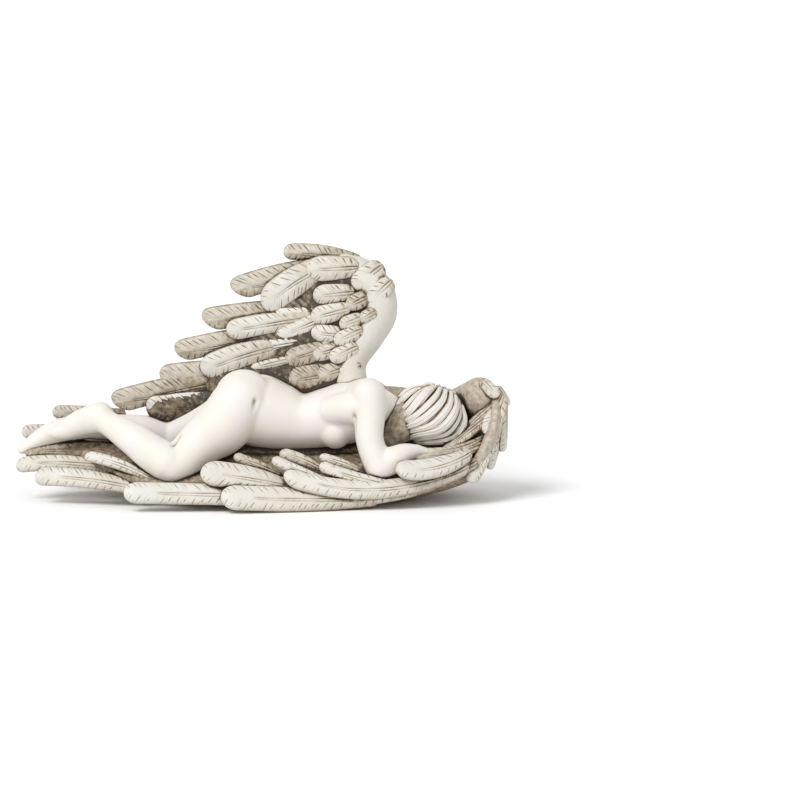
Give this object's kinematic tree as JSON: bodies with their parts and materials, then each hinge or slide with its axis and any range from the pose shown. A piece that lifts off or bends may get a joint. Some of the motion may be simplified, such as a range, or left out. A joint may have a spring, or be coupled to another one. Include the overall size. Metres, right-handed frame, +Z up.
{
  "type": "angel statue",
  "caption": "Winged figure asleep face down on the bed of its own spread wing, the other wing raised behind its back, cast in one piece",
  "frame": {"origin": "centre of the bounding box's base, on the standing plane", "axes": "+X along the figure from the feet to the head, +Y from the viewer's side to the raised wing's back, +Z up"},
  "size_m": [0.37, 0.16, 0.1904],
  "materials": {
    "cast_stone_resin": "matt off-white stone-filled resin with a brown antique wash in the recesses"
  },
  "bodies": {
    "root": {"angel_statue": "cast_stone_resin"}
  },
  "joints": []
}
